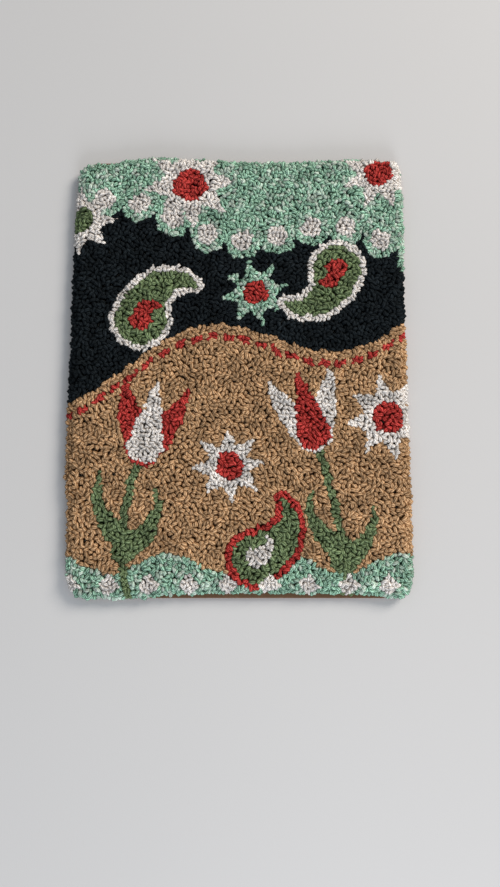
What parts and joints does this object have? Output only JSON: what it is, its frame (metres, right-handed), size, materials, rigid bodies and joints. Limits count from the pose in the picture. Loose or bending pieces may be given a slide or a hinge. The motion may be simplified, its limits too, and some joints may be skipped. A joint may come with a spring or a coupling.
{
  "type": "punch needle wall piece on a hardboard panel",
  "caption": "Upright rectangular wall piece of looped yarn punched into a ground cloth and glued to a thin hardboard panel.",
  "frame": {"origin": "middle of the hardboard panel's back face", "axes": "+Z out of the looped pile, +Y to the top of the piece, +X to its right as seen from the front; it lies on its back"},
  "size_m": [0.2142, 0.2836, 0.0113],
  "materials": {
    "hardboard": "bare brown hardboard, slightly smooth front and meshed back",
    "ground_cotton": "open basket weave, matte",
    "yarn_tan": "plied matte yarn in loops",
    "yarn_black": "plied matte yarn in loops",
    "yarn_mint": "plied matte yarn in loops",
    "yarn_white": "plied matte yarn in loops",
    "yarn_green": "plied matte yarn in loops",
    "yarn_red": "plied matte yarn in loops"
  },
  "bodies": {
    "root": {"backing_panel": "hardboard", "ground_cloth": "ground_cotton", "looped_pile": "yarn_tan"}
  },
  "joints": []
}
